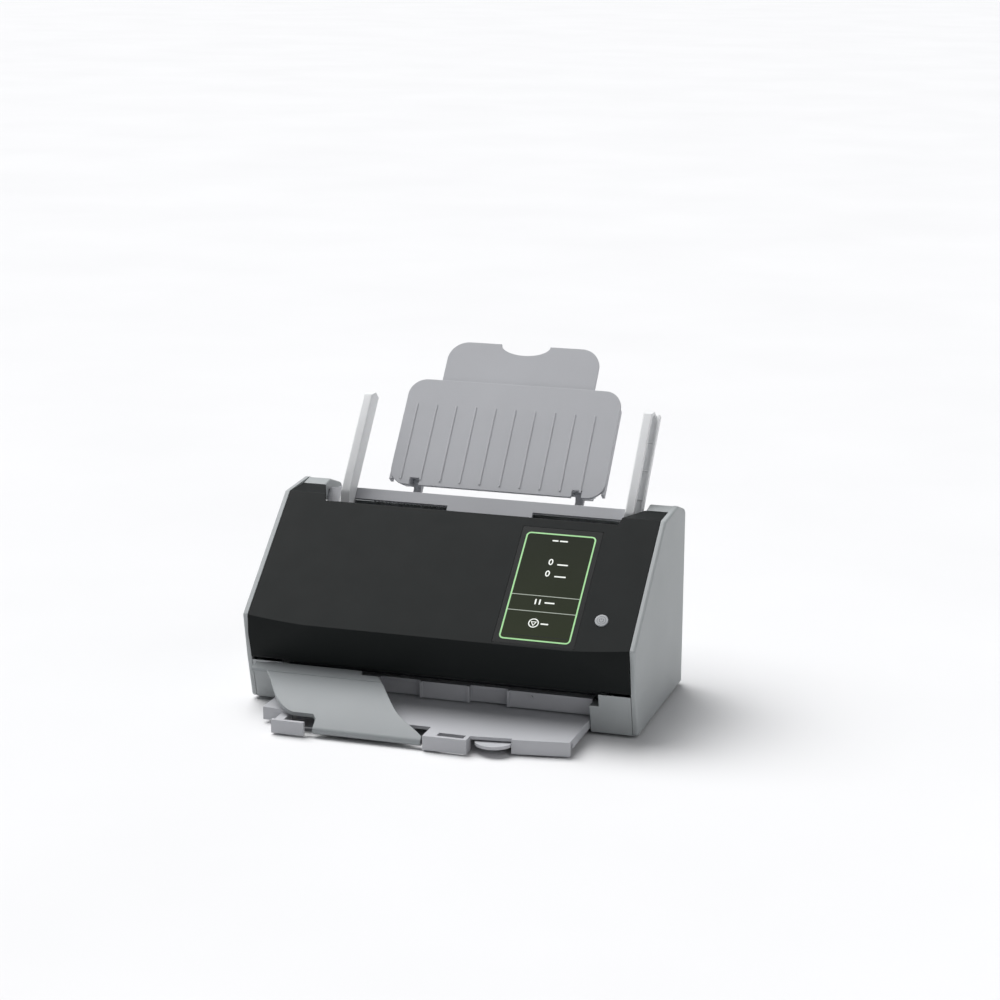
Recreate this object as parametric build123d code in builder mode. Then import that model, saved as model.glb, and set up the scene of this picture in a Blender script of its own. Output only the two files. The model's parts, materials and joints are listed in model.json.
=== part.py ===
from build123d import *
from math import atan2, cos, degrees, hypot, pi, radians, sin
import os

os.makedirs("parts", exist_ok=True)

# Sheet-fed document scanner, millimetres. X runs across the body, -Y is the front with
# the display and the stacker, +Z is up. Z = 0 is the table, and the origin lies under
# the middle of the body's depth.


# ---------------------------------------------------------------- driving dimensions
HALF = 150.0            # half of the body's width
PANEL = 4.0             # thickness of the grey side covers
SEAM = HALF - PANEL     # where side cover and black front cover meet
GAP = 0.4               # visible joint between two housing parts
WALL = 2.4              # moulded wall
BACK = 78.5             # rearmost face of the body
BOARD_Y = 67.6          # rear face of the main circuit board
FLOOR_Z = 2.5           # underside of the base pan, the feet fill the rest

# side view of the body, as (y, z)
TOE = (-62.8, FLOOR_Z)
LIP = (-71.8, 36.3)
BREAK = (-78.5, 70.5)
BROW = (8.8, 145.0)
HORN_Y = 36.5           # rear end of the cover's two horns
HOPPER_HALF = 127.5     # half of the open width between the horns
SLOT_Y = 3.8            # rear edge of the cover between the horns
HORN_FOOT = 115.0       # half of the open width at that edge, the horns lean outwards

# straight paper path through the body
PATH_ANGLE = 51.0
PATH_Y, PATH_Z = 37.3, 131.9
FEED_X = 4.5            # middle of the paper
GUIDE_HALF = 109.0      # half of the gap between the two side guides

# cover hinge, close behind the lower edge of the cover
HINGE_Y, HINGE_Z = -66.5, 39.5

# rollers: position along the path, and radii
PICK_S, FEED_S, EXIT_S = -40.0, -60.0, -122.0
PICK_R, FEED_R, IDLER_R = 10.0, 7.0, 6.0
NIP = 0.3               # half of the gap between a roller and its partner
SHAFT_R = 3.0
RUN = 0.05              # radial clearance of a turning shaft
GEAR_X = -137.0         # middle of the gear train, outside the left side frame
FRAME_X = 128.0         # inner face of the side frames
FRAME_T = 3.0

# stacker
TRAY_TOP = 12.0
TRAY_LEFT, TRAY_RIGHT = -120.5, 113.8
TRAY_FRONT = -126.0     # front edge of the tray plate
WALL_FRONT = -136.0     # face of the two front walls of the tray

slope_angle = degrees(atan2(BROW[1] - BREAK[1], BROW[0] - BREAK[0]))
SLOPE = Plane(origin=(0, *BREAK), x_dir=(1, 0, 0),
              z_dir=(0, -sin(radians(slope_angle)), cos(radians(slope_angle))))
PATH = Plane(origin=(0, PATH_Y, PATH_Z), x_dir=(1, 0, 0),
             z_dir=(0, -sin(radians(PATH_ANGLE)), cos(radians(PATH_ANGLE))))


def path_yz(s, n):
    """Side-view (y, z) of a point s up the paper path and n above it."""
    a = radians(PATH_ANGLE)
    return (PATH_Y + s * cos(a) - n * sin(a), PATH_Z + s * sin(a) + n * cos(a))


def path_outline(points):
    """The same for a list of (s, n) points."""
    return [path_yz(s, n) for s, n in points]


PICK = path_yz(PICK_S, -PICK_R - NIP)
FEED = path_yz(FEED_S, -FEED_R - NIP)
EXIT = path_yz(EXIT_S, -FEED_R - NIP)
BRAKE = path_yz(PICK_S, 9.0 + NIP)
UPPER_FEED = path_yz(FEED_S, IDLER_R + NIP)
UPPER_EXIT = path_yz(EXIT_S, IDLER_R + NIP)
LATCH_PIN = path_yz(-26.0, 3.0)


# ---------------------------------------------------------------- helpers
def save(part, name):
    part.label = name
    export_step(part, f"parts/{name}.step")


def slab(points, x0, x1, mode=Mode.ADD):
    """Prism with a side-view outline of (y, z) points, from x0 to x1."""
    with BuildSketch(Plane.YZ.offset(x0)) as outline:
        Polygon(*points, align=None)
    extrude(outline.sketch, amount=x1 - x0, mode=mode)


def box(x0, x1, y0, y1, z0, z1, mode=Mode.ADD):
    """Box given by its six faces."""
    with Locations(((x0 + x1) / 2, (y0 + y1) / 2, (z0 + z1) / 2)):
        Box(x1 - x0, y1 - y0, z1 - z0, mode=mode)


def plane_box(plane, x0, x1, s0, s1, n0, n1, mode=Mode.ADD):
    """Box in the slope or path plane: across, along and above that plane."""
    with Locations(plane * Location(((x0 + x1) / 2, (s0 + s1) / 2, (n0 + n1) / 2))):
        Box(x1 - x0, s1 - s0, n1 - n0, mode=mode)


def rod(centre, radius, x0, x1, mode=Mode.ADD):
    """Cylinder along X round a side-view centre."""
    with BuildSketch(Plane.YZ.offset(x0)) as disc:
        with Locations(centre):
            Circle(radius)
    extrude(disc.sketch, amount=x1 - x0, mode=mode)


def window(plane, x, s, width, length, depth=60):
    """Opening cut square through a wall that lies in the plane."""
    plane_box(plane, x - width / 2, x + width / 2, s - length / 2, s + length / 2,
              -depth / 2, depth / 2, mode=Mode.SUBTRACT)


def gear_outline(teeth, module, phase):
    """Spur gear profile with straight-sided teeth; phase is the angle of one tooth."""
    pitch = 360 / teeth
    root = module * (teeth / 2 - 1.15)
    tip = module * (teeth / 2 + 0.75)
    points = []
    for k in range(teeth):
        middle = phase + k * pitch
        for radius, offset in ((root, -0.33), (tip, -0.12), (tip, 0.12), (root, 0.33)):
            a = radians(middle + offset * pitch)
            points.append((radius * cos(a), radius * sin(a)))
    return points


def gear(centre, teeth, phase, x, width, bore, module=1.0):
    """Spur gear on an axle along X; a large one has a recessed web."""
    with BuildPart() as wheel:
        with BuildSketch(Plane.YZ.offset(x - width / 2)):
            with Locations(centre):
                Polygon(*gear_outline(teeth, module, phase), align=None)
        extrude(amount=width)
        if teeth > 30:
            for side in (-1, 1):
                face = x + side * width / 2
                with BuildSketch(Plane.YZ.offset(face)):
                    with Locations(centre):
                        Circle(teeth * module / 2 - 3.5)
                        Circle(bore + 4, mode=Mode.SUBTRACT)
                extrude(amount=-side * width / 4, mode=Mode.SUBTRACT)
        rod(centre, bore, x - width, x + width, mode=Mode.SUBTRACT)
    return wheel


def meshed_phase(phase, teeth, centre, other_teeth, other_centre):
    """Tooth angle that lets a second gear mesh with a first one."""
    line = degrees(atan2(other_centre[1] - centre[1], other_centre[0] - centre[0]))
    share = ((line - phase) / (360 / teeth)) % 1.0
    return line + 180 + (share + 0.5) * 360 / other_teeth


def rollers(shaft_centre, radius, bore, width, positions, chamfer_size=0.6):
    """Equal rubber rollers on one shaft."""
    with BuildPart() as tyres:
        for x in positions:
            rod(shaft_centre, radius, x - width / 2, x + width / 2)
        rims = tyres.edges().filter_by(GeomType.CIRCLE)
        chamfer(rims, chamfer_size)
        rod(shaft_centre, bore, -HALF, HALF, mode=Mode.SUBTRACT)
    return tyres


# ---------------------------------------------------------------- side covers
SIDE_OUTLINE = [TOE, LIP, BREAK, BROW, (49.0, 147.0), (70.5, 140.0), (73.0, 136.5),
                (73.0, FLOOR_Z)]
BOSS_SPOTS = [(-45.0, 40.0), (32.0, 98.0), (60.0, 30.0), (62.0, 112.0)]


def side_cover(side):
    """Flat outer skin with rounded rim, a shallow inner pocket and four screw bosses."""
    with BuildPart() as cover:
        with BuildSketch(Plane.YZ):
            Polygon(*SIDE_OUTLINE, align=None)
            fillet(vertices(), 2.0)
        extrude(amount=PANEL)
        outer_rim = cover.faces().sort_by(Axis.X)[-1].edges()
        fillet(outer_rim, 1.9)
        with BuildSketch(Plane.YZ):
            Polygon(*SIDE_OUTLINE, align=None)
            offset(amount=-4.0)
        extrude(amount=PANEL - 2.2, mode=Mode.SUBTRACT)
        for spot in BOSS_SPOTS:
            rod(spot, 4.0, -6.0, PANEL - 2.2)
            rod(spot, 1.3, -6.0, PANEL - 3.2, mode=Mode.SUBTRACT)
    body = cover.part.moved(Location((SEAM, 0, 0)))
    return body if side > 0 else mirror(body, about=Plane.YZ)


save(side_cover(+1), "right_side_cover")
save(side_cover(-1), "left_side_cover")


# ---------------------------------------------------------------- base pan and feet
with BuildPart() as base_pan:
    box(-SEAM + GAP, SEAM - GAP, -56.6, 73, FLOOR_Z, FLOOR_Z + 2.0)
    for side in (-1, 1):
        box(side * 141 - 1.2, side * 141 + 1.2, -56, 73, FLOOR_Z + 2.0, 20)
        box(side * 133 - 3, side * 133 + 3, -20, -8, FLOOR_Z + 2.0, 12)
    box(-139.8, 139.8, 70.6, 73, FLOOR_Z + 2.0, 18)
    for x in (-60, -20, 20, 60):
        box(x - 1, x + 1, 30, 70.6, FLOOR_Z + 2.0, 8)
    for y in (36, 44, 52, 60):
        with Locations((0, y, FLOOR_Z)):
            with GridLocations(40, 1, 5, 1):
                Box(26, 2.4, 8, mode=Mode.SUBTRACT)
save(base_pan.part, "base_pan")

FOOT_SPOTS = [(-122, -44), (122, -44), (-122, 60), (122, 60)]
with BuildPart() as rubber_feet:
    with Locations(*[(x, y, 0) for x, y in FOOT_SPOTS]):
        Cylinder(8, FLOOR_Z, align=(Align.CENTER, Align.CENTER, Align.MIN))
    chamfer(rubber_feet.edges().group_by(Axis.Z)[0], 0.6)
save(rubber_feet.part, "rubber_feet")


# ---------------------------------------------------------------- lower front pieces
def lower_front(inner_low, inner_high):
    """Grey right corner piece beside the paper outlet, open to the rear, stepped at the top.

    Its upper edge curves under the cover's lower edge, which sweeps down as the cover opens."""
    front = [TOE, (-71.1, 33.8), (-70.0, 33.3), (-68.0, 32.4), (-57.0, 32.4), (-57.0, FLOOR_Z)]
    hollow = [(-60.2, FLOOR_Z + WALL), (-67.6, 34.0), (-50.0, 34.0), (-50.0, FLOOR_Z + WALL)]
    with BuildPart() as piece:
        slab(front, inner_low, SEAM - GAP)
        slab(hollow, inner_high + WALL, SEAM - GAP - WALL, mode=Mode.SUBTRACT)
        box(inner_low - 1, inner_high, -80, -50, 24.0, 40, mode=Mode.SUBTRACT)
    return piece.part


save(lower_front(114.6, 121.6), "right_lower_front")
save(mirror(lower_front(121.4, 121.6), about=Plane.YZ), "left_lower_front")


# ---------------------------------------------------------------- rear cover
REAR_OUTLINE = [(57.5, 129.0), (66.0, 129.0), (BACK, 112.0), (BACK, FLOOR_Z + 3),
                (BACK - 3, FLOOR_Z), (73.4, FLOOR_Z)]
with BuildPart() as rear_cover:
    with BuildSketch(Plane.YZ.offset(-SEAM + GAP)):
        Polygon(*REAR_OUTLINE, (57.5, FLOOR_Z), align=None)
        with BuildSketch(mode=Mode.SUBTRACT):
            Polygon(*REAR_OUTLINE, (57.5, FLOOR_Z), align=None)
            offset(amount=-WALL, kind=Kind.INTERSECTION)
    extrude(amount=2 * (SEAM - GAP))
    box(-HALF, HALF, 40, 60.5, 0, 129 - WALL, mode=Mode.SUBTRACT)
    box(-HALF, HALF, 40, 73.4, 0, 8, mode=Mode.SUBTRACT)
    for side in (-1, 1):
        box(side * 137 - 10, side * 137 + 10, 40, 73.4, 110, 140, mode=Mode.SUBTRACT)
    corners = rear_cover.edges().filter_by(Axis.Z).group_by(Axis.Y)[-1]
    fillet(corners, 2.0)
    for row in range(7):
        with Locations((-60, BACK, 60 + row * 6)):
            Box(90, 12, 2.6, mode=Mode.SUBTRACT)
    box(64, 78, 70, 90, 24, 36, mode=Mode.SUBTRACT)
    with BuildSketch(Plane.XZ.offset(-90)):
        with Locations((100, 30)):
            Circle(5.2)
    extrude(amount=20, mode=Mode.SUBTRACT)
    box(120, 127, 70, 90, 28, 31, mode=Mode.SUBTRACT)
    for x in (-14, 116):
        for z in (22, 90):
            with Locations((x, BOARD_Y, z)):
                Cylinder(3, BACK - BOARD_Y - 1, rotation=(-90, 0, 0),
                         align=(Align.CENTER, Align.CENTER, Align.MIN))
save(rear_cover.part, "rear_cover")


# ---------------------------------------------------------------- top boxes beside the hopper
def top_box(side):
    """Small grey box that closes the body behind a horn of the front cover."""
    outer = [(HORN_Y + GAP, 132.0), (HORN_Y + GAP, 144.8), (49.0, 146.6), (69.6, 139.6),
             (72.0, 136.0), (72.0, 132.0)]
    with BuildPart() as lid:
        slab(outer, HOPPER_HALF, SEAM - GAP)
        rim = lid.faces().sort_by(Axis.X)[0].edges().sort_by(Axis.Z)[-3:]
        fillet(rim, 1.5)
        slab([(HORN_Y + 2.6, 131.0), (HORN_Y + 2.6, 142.4), (49.0, 144.0), (68.0, 137.4),
              (69.6, 131.0)], HOPPER_HALF + 2.2, SEAM - GAP - 2.2, mode=Mode.SUBTRACT)
    return lid.part if side > 0 else mirror(lid.part, about=Plane.YZ)


save(top_box(+1), "right_top_box")
save(top_box(-1), "left_top_box")


# ---------------------------------------------------------------- side frames and bushings
MOTOR_TEETH, PICK_IDLER_TEETH, PICK_TEETH, FEED_TEETH, EXIT_TEETH = 12, 16, 14, 14, 14
BIG_IDLER_TEETH = 48
SHAFT_SPOTS = (PICK, FEED, EXIT)


def third_centre(a, b, from_a, from_b, side):
    """Point at given distances from two others, left (+1) or right (-1) of the line a to b."""
    base = hypot(b[0] - a[0], b[1] - a[1])
    along = (from_a**2 - from_b**2 + base**2) / (2 * base)
    off = side * (from_a**2 - along**2) ** 0.5
    ux, uy = (b[0] - a[0]) / base, (b[1] - a[1]) / base
    return (a[0] + along * ux - off * uy, a[1] + along * uy + off * ux)


reach = (PICK_IDLER_TEETH + PICK_TEETH) / 2
PICK_IDLER = third_centre(PICK, FEED, reach, reach, +1)
motor_reach = (PICK_IDLER_TEETH + MOTOR_TEETH) / 2
MOTOR = (PICK_IDLER[0] + motor_reach * cos(radians(-50)),
         PICK_IDLER[1] + motor_reach * sin(radians(-50)))
BIG_IDLER = ((FEED[0] + EXIT[0]) / 2, (FEED[1] + EXIT[1]) / 2)
BUSHING_R = 5.0
EAR_R = 3.3


def side_frame(side):
    """Upright plate that carries the shafts, the hopper floor and the cover's hinge."""
    edge = [(-56.0, 13.5), (-58.0, 30.0), (-62.5, 36.6), (-65.5, 42.6), (-58.0, 44.0),
            path_yz(-118, 6), path_yz(-24, 6), path_yz(-8, -4), (50.0, 129.0),
            (58.0, 126.0), (64.0, 110.0), (64.0, FLOOR_Z + 2.0), (20.0, FLOOR_Z + 2.0),
            (20.0, 13.5)]
    with BuildPart() as plate:
        slab(edge, FRAME_X, FRAME_X + FRAME_T)
        rod((HINGE_Y, HINGE_Z), EAR_R, FRAME_X, FRAME_X + FRAME_T)
        for spot in ((-8.0, 27.0), (20.0, 28.0), (42.0, 28.0), (48.0, 58.0), (48.0, 84.0)):
            rod(spot, 8.0, 0, HALF, mode=Mode.SUBTRACT)
        rod((HINGE_Y, HINGE_Z), 1.8, 0, HALF, mode=Mode.SUBTRACT)
        rod(LATCH_PIN, 1.6, 0, HALF, mode=Mode.SUBTRACT)
        for spot in SHAFT_SPOTS:
            rod(spot, BUSHING_R, 0, HALF, mode=Mode.SUBTRACT)
        box(FRAME_X, FRAME_X + 8, 24, 60, FLOOR_Z + 2.0, FLOOR_Z + 5.0)
        if side < 0:
            for spot in (PICK_IDLER, BIG_IDLER):
                rod(spot, 2.0, 0, HALF, mode=Mode.SUBTRACT)
            rod(MOTOR, 7.0, 0, HALF, mode=Mode.SUBTRACT)
    return plate.part if side > 0 else mirror(plate.part, about=Plane.YZ)


save(side_frame(+1), "right_side_frame")
save(side_frame(-1), "left_side_frame")

with BuildPart() as shaft_bushings:
    for spot in SHAFT_SPOTS:
        for side in (-1, 1):
            inner = side * (FRAME_X - 1.2)
            outer = side * (FRAME_X + FRAME_T)
            flange = side * FRAME_X
            rod(spot, BUSHING_R, min(inner, outer), max(inner, outer))
            rod(spot, BUSHING_R + 1.2, min(inner, flange), max(inner, flange))
            rod(spot, SHAFT_R + RUN, min(inner, outer) - 1, max(inner, outer) + 1,
                mode=Mode.SUBTRACT)
save(shaft_bushings.part, "shaft_bushings")

with BuildPart() as gear_axles:
    for spot in (PICK_IDLER, BIG_IDLER):
        rod(spot, 2.0, -141.5, -FRAME_X)
        rod(spot, 3.2, -141.5, -140.7)
save(gear_axles.part, "gear_axles")

with BuildPart() as frame_pins:
    for side in (-1, 1):
        x0, x1 = sorted((side * 120.6, side * (FRAME_X + FRAME_T)))
        rod((HINGE_Y, HINGE_Z), 1.8, x0, x1)
        x0, x1 = sorted((side * (FRAME_X + FRAME_T), side * (FRAME_X + FRAME_T + 1.0)))
        rod((HINGE_Y, HINGE_Z), 2.8, x0, x1)
        x0, x1 = sorted((side * 124.2, side * (FRAME_X + FRAME_T)))
        rod(LATCH_PIN, 1.6, x0, x1)
save(frame_pins.part, "frame_pins")


# ---------------------------------------------------------------- feed bed under the paper
BED_HALF = 123.0
PICK_X = (FEED_X - 13, FEED_X + 13)
FEED_ROLLER_X = tuple(FEED_X + k for k in (-75, -30, 30, 75))
LOWER_SENSOR_S, UPPER_SENSOR_S = -98.0, -79.0
SENSOR_LENGTH, SENSOR_WIDTH = 232.0, 12.0

with BuildPart() as feed_bed:
    profile = [(-26.0, -1.0), (-134.0, -1.0), (-138.5, -4.0), (-136.5, -6.2), (-133.0, -3.4),
               (-26.0, -3.4)]
    slab(path_outline(profile), -BED_HALF, BED_HALF)
    for side in (-1, 1):
        x0, x1 = sorted((side * (BED_HALF - 2.4), side * BED_HALF))
        slab(path_outline([(-26, -3), (-132, -3), (-128, -14.6), (-26, -14.6)]), x0, x1)
    for x in (-60, 0, 60):
        for s in (-70, -88, -108, -128):
            plane_box(PATH, x - 18, x + 18, s - 0.8, s + 0.8, -8.0, -3.2)
    for x in PICK_X:
        window(PATH, x, PICK_S, 22, 24)
    for x in FEED_ROLLER_X:
        window(PATH, x, FEED_S, 16, 18)
        window(PATH, x, EXIT_S, 16, 18)
    for spot in (PICK, FEED, EXIT):
        rod(spot, SHAFT_R + 1.0, -HALF, HALF, mode=Mode.SUBTRACT)
    window(PATH, 0, LOWER_SENSOR_S, SENSOR_LENGTH + 1, SENSOR_WIDTH + 1)
save(feed_bed.part, "feed_bed")


def sensor_unit(s, side):
    """Long housing of a line image sensor, its open channel facing the paper."""
    near, far = 2.2 * side, 14.0 * side
    n0, n1 = sorted((near, far))
    with BuildPart() as housing:
        plane_box(PATH, -SENSOR_LENGTH / 2, SENSOR_LENGTH / 2, s - SENSOR_WIDTH / 2,
                  s + SENSOR_WIDTH / 2, n0, n1)
        lid0, lid1 = sorted((near - side, near + 5.0 * side))
        plane_box(PATH, -SENSOR_LENGTH / 2 + 4, SENSOR_LENGTH / 2 - 4, s - 3.5, s + 3.5,
                  lid0, lid1, mode=Mode.SUBTRACT)
    return housing.part


def sensor_glass(s, side):
    """Cover glass of a line sensor, flush with the paper path."""
    n0, n1 = sorted((1.0 * side, 2.2 * side))
    with BuildPart() as pane:
        plane_box(PATH, -SENSOR_LENGTH / 2, SENSOR_LENGTH / 2, s - SENSOR_WIDTH / 2,
                  s + SENSOR_WIDTH / 2, n0, n1)
    return pane.part


save(sensor_unit(LOWER_SENSOR_S, -1), "lower_sensor_unit")
save(sensor_glass(LOWER_SENSOR_S, -1), "lower_sensor_glass")
save(sensor_unit(UPPER_SENSOR_S, +1), "upper_sensor_unit")
save(sensor_glass(UPPER_SENSOR_S, +1), "upper_sensor_glass")


# ---------------------------------------------------------------- driven shafts and rollers
def drive_shaft(centre):
    """Steel shaft right through the body, long enough on the left to carry its gear."""
    with BuildPart() as shaft:
        rod(centre, SHAFT_R, GEAR_X - 3.5, FRAME_X + FRAME_T + 1.6)
        ends = shaft.edges().filter_by(GeomType.CIRCLE)
        chamfer(ends, 0.4)
    return shaft.part


save(drive_shaft(PICK), "pick_shaft")
save(drive_shaft(FEED), "feed_shaft")
save(drive_shaft(EXIT), "exit_shaft")
save(rollers(PICK, PICK_R, SHAFT_R, 20.0, PICK_X).part, "pick_rollers")
save(rollers(FEED, FEED_R, SHAFT_R, 14.0, FEED_ROLLER_X).part, "feed_rollers")
save(rollers(EXIT, FEED_R, SHAFT_R, 14.0, FEED_ROLLER_X).part, "exit_rollers")

motor_phase = 0.0
pick_idler_phase = meshed_phase(motor_phase, MOTOR_TEETH, MOTOR, PICK_IDLER_TEETH, PICK_IDLER)
pick_phase = meshed_phase(pick_idler_phase, PICK_IDLER_TEETH, PICK_IDLER, PICK_TEETH, PICK)
feed_phase = meshed_phase(pick_idler_phase, PICK_IDLER_TEETH, PICK_IDLER, FEED_TEETH, FEED)
big_phase = meshed_phase(feed_phase, FEED_TEETH, FEED, BIG_IDLER_TEETH, BIG_IDLER)
exit_phase = meshed_phase(big_phase, BIG_IDLER_TEETH, BIG_IDLER, EXIT_TEETH, EXIT)

GEARS = [
    ("motor_pinion", MOTOR, MOTOR_TEETH, motor_phase, 1.5),
    ("pick_idler_gear", PICK_IDLER, PICK_IDLER_TEETH, pick_idler_phase, 2.0 + RUN),
    ("pick_gear", PICK, PICK_TEETH, pick_phase, SHAFT_R),
    ("feed_gear", FEED, FEED_TEETH, feed_phase, SHAFT_R),
    ("exit_idler_gear", BIG_IDLER, BIG_IDLER_TEETH, big_phase, 2.0 + RUN),
    ("exit_gear", EXIT, EXIT_TEETH, exit_phase, SHAFT_R),
]
for name, centre, teeth, phase, bore in GEARS:
    wheel = gear(centre, teeth, phase, GEAR_X, 5.0, bore)
    if name == "motor_pinion":
        with wheel:
            rod(MOTOR, 1.5, -141.0, -127.4)
    save(wheel.part, name)


# ---------------------------------------------------------------- motor
with BuildPart() as drive_motor:
    rod(MOTOR, 15.5, -125.0, -88.0)
    fillet(drive_motor.edges().filter_by(GeomType.CIRCLE), 1.5)
    rod(MOTOR, 5.5, -127.4, -125.0)
    rod(MOTOR, 6.0, -88.0, -85.5)
save(drive_motor.part, "drive_motor")

with BuildPart() as motor_bracket:
    y, z = MOTOR
    box(-126.4, -125.0, y - 19, y + 18, z - 22, z + 18)
    box(-126.4, -96.0, y - 19, y + 18, z - 23.4, z - 22)
    rod(MOTOR, 5.6, -130, -120, mode=Mode.SUBTRACT)
    for dy in (-14, 13):
        for dz in (-16, 15):
            rod((y + dy, z + dz), 1.6, -130, -120, mode=Mode.SUBTRACT)
            rod((y + dy, z + dz), 3.0, -128.0, -126.4)
save(motor_bracket.part, "motor_bracket")


# ---------------------------------------------------------------- front cover with horns
SHELL = 2.2
COVER_HALF = SEAM - GAP
NOSE = (-82.0, 67.5)
LOW_LIP = (-70.6, 30.3)
GLASS_X, GLASS_S = 75.0, 48.7
GLASS_W, GLASS_H, GLASS_T = 61.5, 103.0, 1.4
BUTTON_X, BUTTON_S, BUTTON_R = 120.4, 23.7, 5.0



def horn_gap(low, wall=0.0):
    """Cuts the space between the two horns down to a height, leaving out a wall round it."""
    rear = HOPPER_HALF - GAP
    with BuildSketch(Plane.XY.offset(low)) as gap:
        Polygon((-HORN_FOOT, SLOT_Y), (HORN_FOOT, SLOT_Y), (rear, HORN_Y), (rear, 60),
                (-rear, 60), (-rear, HORN_Y), align=None)
        if wall:
            offset(amount=wall, kind=Kind.INTERSECTION)
    extrude(gap.sketch, amount=160 - low, mode=Mode.SUBTRACT)


COVER_OUTLINE = [LOW_LIP, NOSE, BROW, (HORN_Y, 144.6), (HORN_Y, 130.0), (-20.0, 70.0)]
with BuildPart() as front_cover:
    with BuildSketch(Plane.YZ.offset(-COVER_HALF)):
        Polygon(*COVER_OUTLINE, align=None)
        fillet(vertices().group_by(Axis.Y)[0], 5.0)
    extrude(amount=2 * COVER_HALF)
    with BuildSketch(Plane.XY) as plan:
        with BuildLine():
            bow = Spline((-COVER_HALF, BREAK[0]), (-100, NOSE[0]), (0, NOSE[0] - 0.4),
                         (100, NOSE[0]), (COVER_HALF, BREAK[0]))
            Polyline(bow @ 1, (COVER_HALF, 60), (-COVER_HALF, 60), bow @ 0)
        make_face()
    extrude(amount=200, mode=Mode.INTERSECT)
    hollow = [(LOW_LIP[0] + SHELL, LOW_LIP[1] - 2), (BREAK[0] + 2.7, BREAK[1] - 1.5),
              (BROW[0] + 0.7, BROW[1] - SHELL), (HORN_Y + 5, BROW[1] - SHELL - 0.3),
              (HORN_Y + 5, 90.0), (0.0, LOW_LIP[1] - 2)]
    with BuildPart(mode=Mode.SUBTRACT):
        slab(hollow, -COVER_HALF + SHELL, COVER_HALF - SHELL)
        horn_gap(134.0, SHELL)
    horn_gap(90.0)
    for x0, x1, step_z in ((117.0, HALF, LIP[1]), (-HALF, -121.0, LIP[1]), (-121.0, -56.0, 34.8)):
        box(x0, x1, -90, -60, 20, step_z, mode=Mode.SUBTRACT)
    plane_box(SLOPE, GLASS_X - GLASS_W / 2, GLASS_X + GLASS_W / 2, GLASS_S - GLASS_H / 2,
              GLASS_S + GLASS_H / 2, -GLASS_T, 5, mode=Mode.SUBTRACT)
    window(SLOPE, GLASS_X, GLASS_S, 57, 99, depth=12)
    with BuildSketch(SLOPE) as button_hole:
        with Locations((BUTTON_X, BUTTON_S)):
            Circle(BUTTON_R + 0.3)
    extrude(button_hole.sketch, amount=8, both=True, mode=Mode.SUBTRACT)
    for x in (-100, -35, 28):
        for s in (14, 88):
            with Locations(SLOPE * Location((x, s, -7.0))):
                Cylinder(3.5, 10.4)
                Cylinder(1.2, 10.5, mode=Mode.SUBTRACT)
save(front_cover.part, "front_cover")

with BuildPart() as touch_panel_glass:
    with BuildSketch(SLOPE.offset(-GLASS_T)) as pane:
        with Locations((GLASS_X, GLASS_S)):
            RectangleRounded(GLASS_W - 0.3, GLASS_H - 0.3, 1.0)
    extrude(pane.sketch, amount=GLASS_T - 0.05)
save(touch_panel_glass.part, "touch_panel_glass")

with BuildPart() as display_module:
    plane_box(SLOPE, GLASS_X - 28, GLASS_X + 28, GLASS_S - 49, GLASS_S + 49, -5.6, -GLASS_T)
    plane_box(SLOPE, GLASS_X - 10, GLASS_X + 10, GLASS_S - 30, GLASS_S - 20, -9.4, -5.6)
save(display_module.part, "display_module")

with BuildPart() as power_button:
    with Locations(SLOPE * Location((BUTTON_X, BUTTON_S, 0))):
        with Locations((0, 0, -1.2)):
            Cylinder(BUTTON_R, 3.6)
        with Locations((0, 0, -3.5)):
            Cylinder(BUTTON_R + 1.4, 1.0)
        with Locations((0, 0, -4.6)):
            Cylinder(1.5, 1.2)
    fillet(power_button.edges().filter_by(GeomType.CIRCLE).sort_by(Axis((0, 0, 0), SLOPE.z_dir))[-1], 0.5)
save(power_button.part, "power_button")

with BuildPart() as display_board:
    plane_box(SLOPE, 40, 130, 3, 92, -11.0, -9.4)
    plane_box(SLOPE, 112, 126, 60, 74, -9.4, -7.6)
    plane_box(SLOPE, 114, 124, 40, 46, -9.4, -6.6)
    plane_box(SLOPE, BUTTON_X - 3, BUTTON_X + 3, BUTTON_S - 3, BUTTON_S + 3, -9.4, -7.0)
    with Locations(SLOPE * Location((BUTTON_X, BUTTON_S, -6.75))):
        Cylinder(1.5, 0.5)
save(display_board.part, "display_board")


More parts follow.
